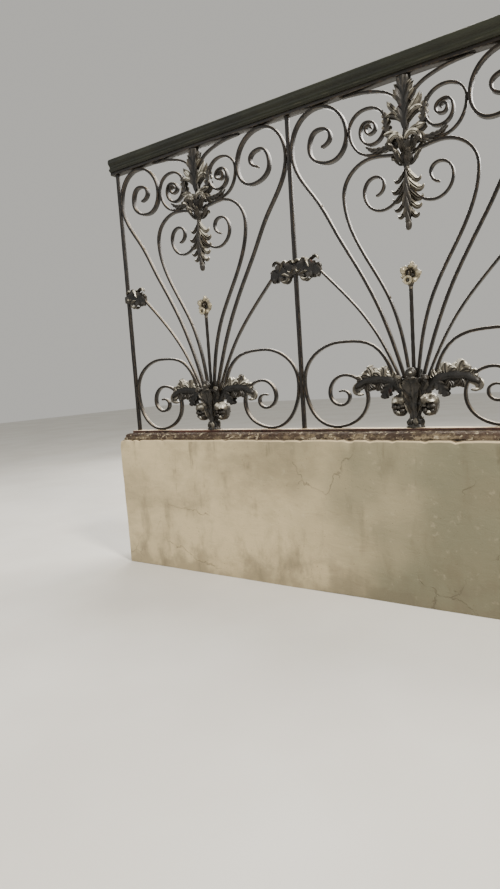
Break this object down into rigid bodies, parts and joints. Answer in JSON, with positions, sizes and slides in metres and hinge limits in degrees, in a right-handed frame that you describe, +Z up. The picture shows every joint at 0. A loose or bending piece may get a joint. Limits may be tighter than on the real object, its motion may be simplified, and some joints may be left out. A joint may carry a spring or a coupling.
{
  "type": "wrought iron balcony screen on a plastered parapet",
  "caption": "Balcony railing of forged scrolls and cast acanthus leaves between a flat bottom rail and a moulded handrail, on a low plastered parapet.",
  "frame": {"origin": "centre of the foot of the parapet", "axes": "+X along the screen, -Y towards its outer face, +Z up"},
  "size_m": [2.54, 0.2, 1.724],
  "materials": {
    "wrought_iron": "old dark paint, worn along the edges",
    "cast_leaves": "dark cast iron, rubbed bright on its high spots",
    "flower_metal": "pale worn paint",
    "handrail_iron": "dark olive paint, dull",
    "rusty_rail": "rusted flat bar with a worn top edge",
    "plaster": "smooth cement plaster with stains and hairline cracks",
    "mortar": "rough grey-brown mortar"
  },
  "bodies": {
    "root": {"parapet": "plaster", "mortar_bed": "mortar", "bottom_rail": "rusty_rail", "under_rail": "wrought_iron", "handrail": "handrail_iron", "end_bars": "wrought_iron", "divider_bars": "wrought_iron", "divider_leaves": "cast_leaves", "left_base_casting": "cast_leaves", "left_centre_stem": "wrought_iron", "left_flower": "flower_metal", "left_lyre_stems": "wrought_iron", "left_tall_scrolls": "wrought_iron", "left_spray_stems": "wrought_iron", "left_low_scrolls": "wrought_iron", "left_volutes": "wrought_iron", "left_pendant_scrolls": "wrought_iron", "left_rail_braces": "wrought_iron", "left_crown_casting": "cast_leaves", "left_pendant_leaf": "cast_leaves", "middle_base_casting": "cast_leaves", "middle_centre_stem": "wrought_iron", "middle_flower": "flower_metal", "middle_lyre_stems": "wrought_iron", "middle_tall_scrolls": "wrought_iron", "middle_spray_stems": "wrought_iron", "middle_low_scrolls": "wrought_iron", "middle_volutes": "wrought_iron", "middle_pendant_scrolls": "wrought_iron", "middle_rail_braces": "wrought_iron", "middle_crown_casting": "cast_leaves", "middle_pendant_leaf": "cast_leaves", "right_base_casting": "cast_leaves", "right_centre_stem": "wrought_iron", "right_flower": "flower_metal", "right_lyre_stems": "wrought_iron", "right_tall_scrolls": "wrought_iron", "right_spray_stems": "wrought_iron", "right_low_scrolls": "wrought_iron", "right_volutes": "wrought_iron", "right_pendant_scrolls": "wrought_iron", "right_rail_braces": "wrought_iron", "right_crown_casting": "cast_leaves", "right_pendant_leaf": "cast_leaves"}
  },
  "joints": []
}
